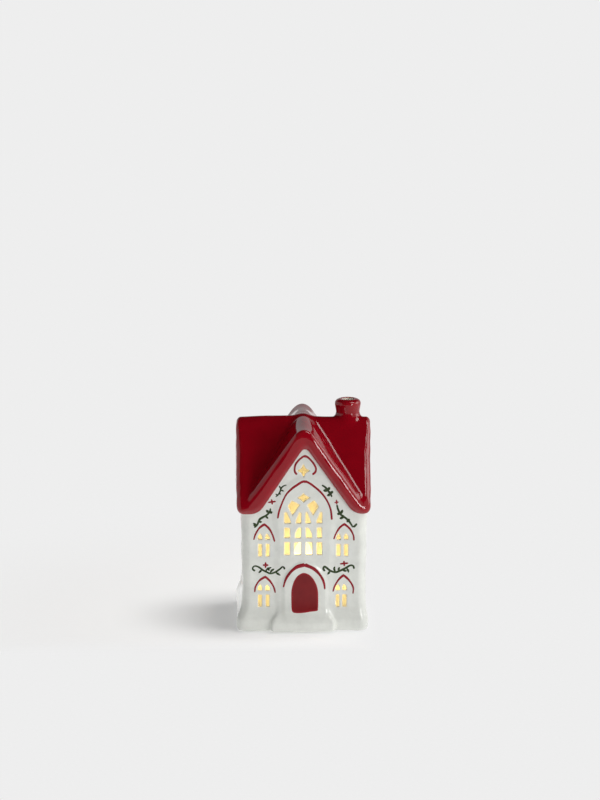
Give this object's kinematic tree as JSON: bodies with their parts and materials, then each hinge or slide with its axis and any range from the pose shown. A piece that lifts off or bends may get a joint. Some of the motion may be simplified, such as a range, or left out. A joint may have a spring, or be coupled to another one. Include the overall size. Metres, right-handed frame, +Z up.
{
  "type": "ceramic christmas village house",
  "caption": "Glazed ceramic village house with pierced gothic windows, a red cross-gabled roof and open chimney, lit from inside by a plug-in battery light.",
  "frame": {"origin": "centre of the footprint, on the surface that the house stands on", "axes": "+Z up; the door faces -Y; the chimney stands on the +X arm of the ridge"},
  "size_m": [0.0914, 0.0954, 0.1534],
  "materials": {
    "white_glaze": "glossy cool-white glaze with hand-painted red arch lines, green sprigs and a dark red door",
    "red_glaze": "deep glossy red glaze, thinner and browner on the edges",
    "felt": "pressed felt",
    "white_plastic": "moulded, satin",
    "grey_rubber": "soft, matt",
    "frosted_lens": "frosted, lit",
    "led_epoxy": "clear epoxy, lit",
    "board_green": "solder mask",
    "resistor_tan": "lacquered",
    "steel": "nickel plated",
    "black_plastic": "moulded, matt",
    "cell_sleeve": "plain unprinted sleeve with bare ends",
    "red_insulation": "soft insulation"
  },
  "bodies": {
    "house": {"house_walls": "white_glaze", "roof": "red_glaze", "chimney": "red_glaze", "foot_pads": "felt"},
    "light_unit": {"module_housing": "white_plastic", "module_cover": "white_plastic", "grip_ring": "grey_rubber", "lens": "frosted_lens", "led": "led_epoxy", "circuit_board": "board_green", "resistor": "resistor_tan", "switch_body": "steel", "batteries": "cell_sleeve", "battery_springs": "steel", "positive_contact": "steel", "negative_contact": "steel", "bridge_contact": "steel", "red_leads": "red_insulation", "black_leads": "black_plastic", "cover_screws": "steel", "board_screws": "steel"},
    "battery_door": {"battery_door": "white_plastic"},
    "switch_knob": {"switch_knob": "black_plastic"}
  },
  "joints": [
    {"name": "light_unit_pull", "type": "slide", "parent": "house", "child": "light_unit", "axis": [0, 0, -1], "range_m": [0, 0.06]},
    {"name": "battery_door_hinge", "type": "hinge", "parent": "light_unit", "child": "battery_door", "pos_m": [0, 0.012, 0.0025], "axis": [1, 0, 0], "range_deg": [0, 80]},
    {"name": "switch_slide", "type": "slide", "parent": "light_unit", "child": "switch_knob", "axis": [-1, 0, 0], "range_m": [0, 0.002]}
  ]
}
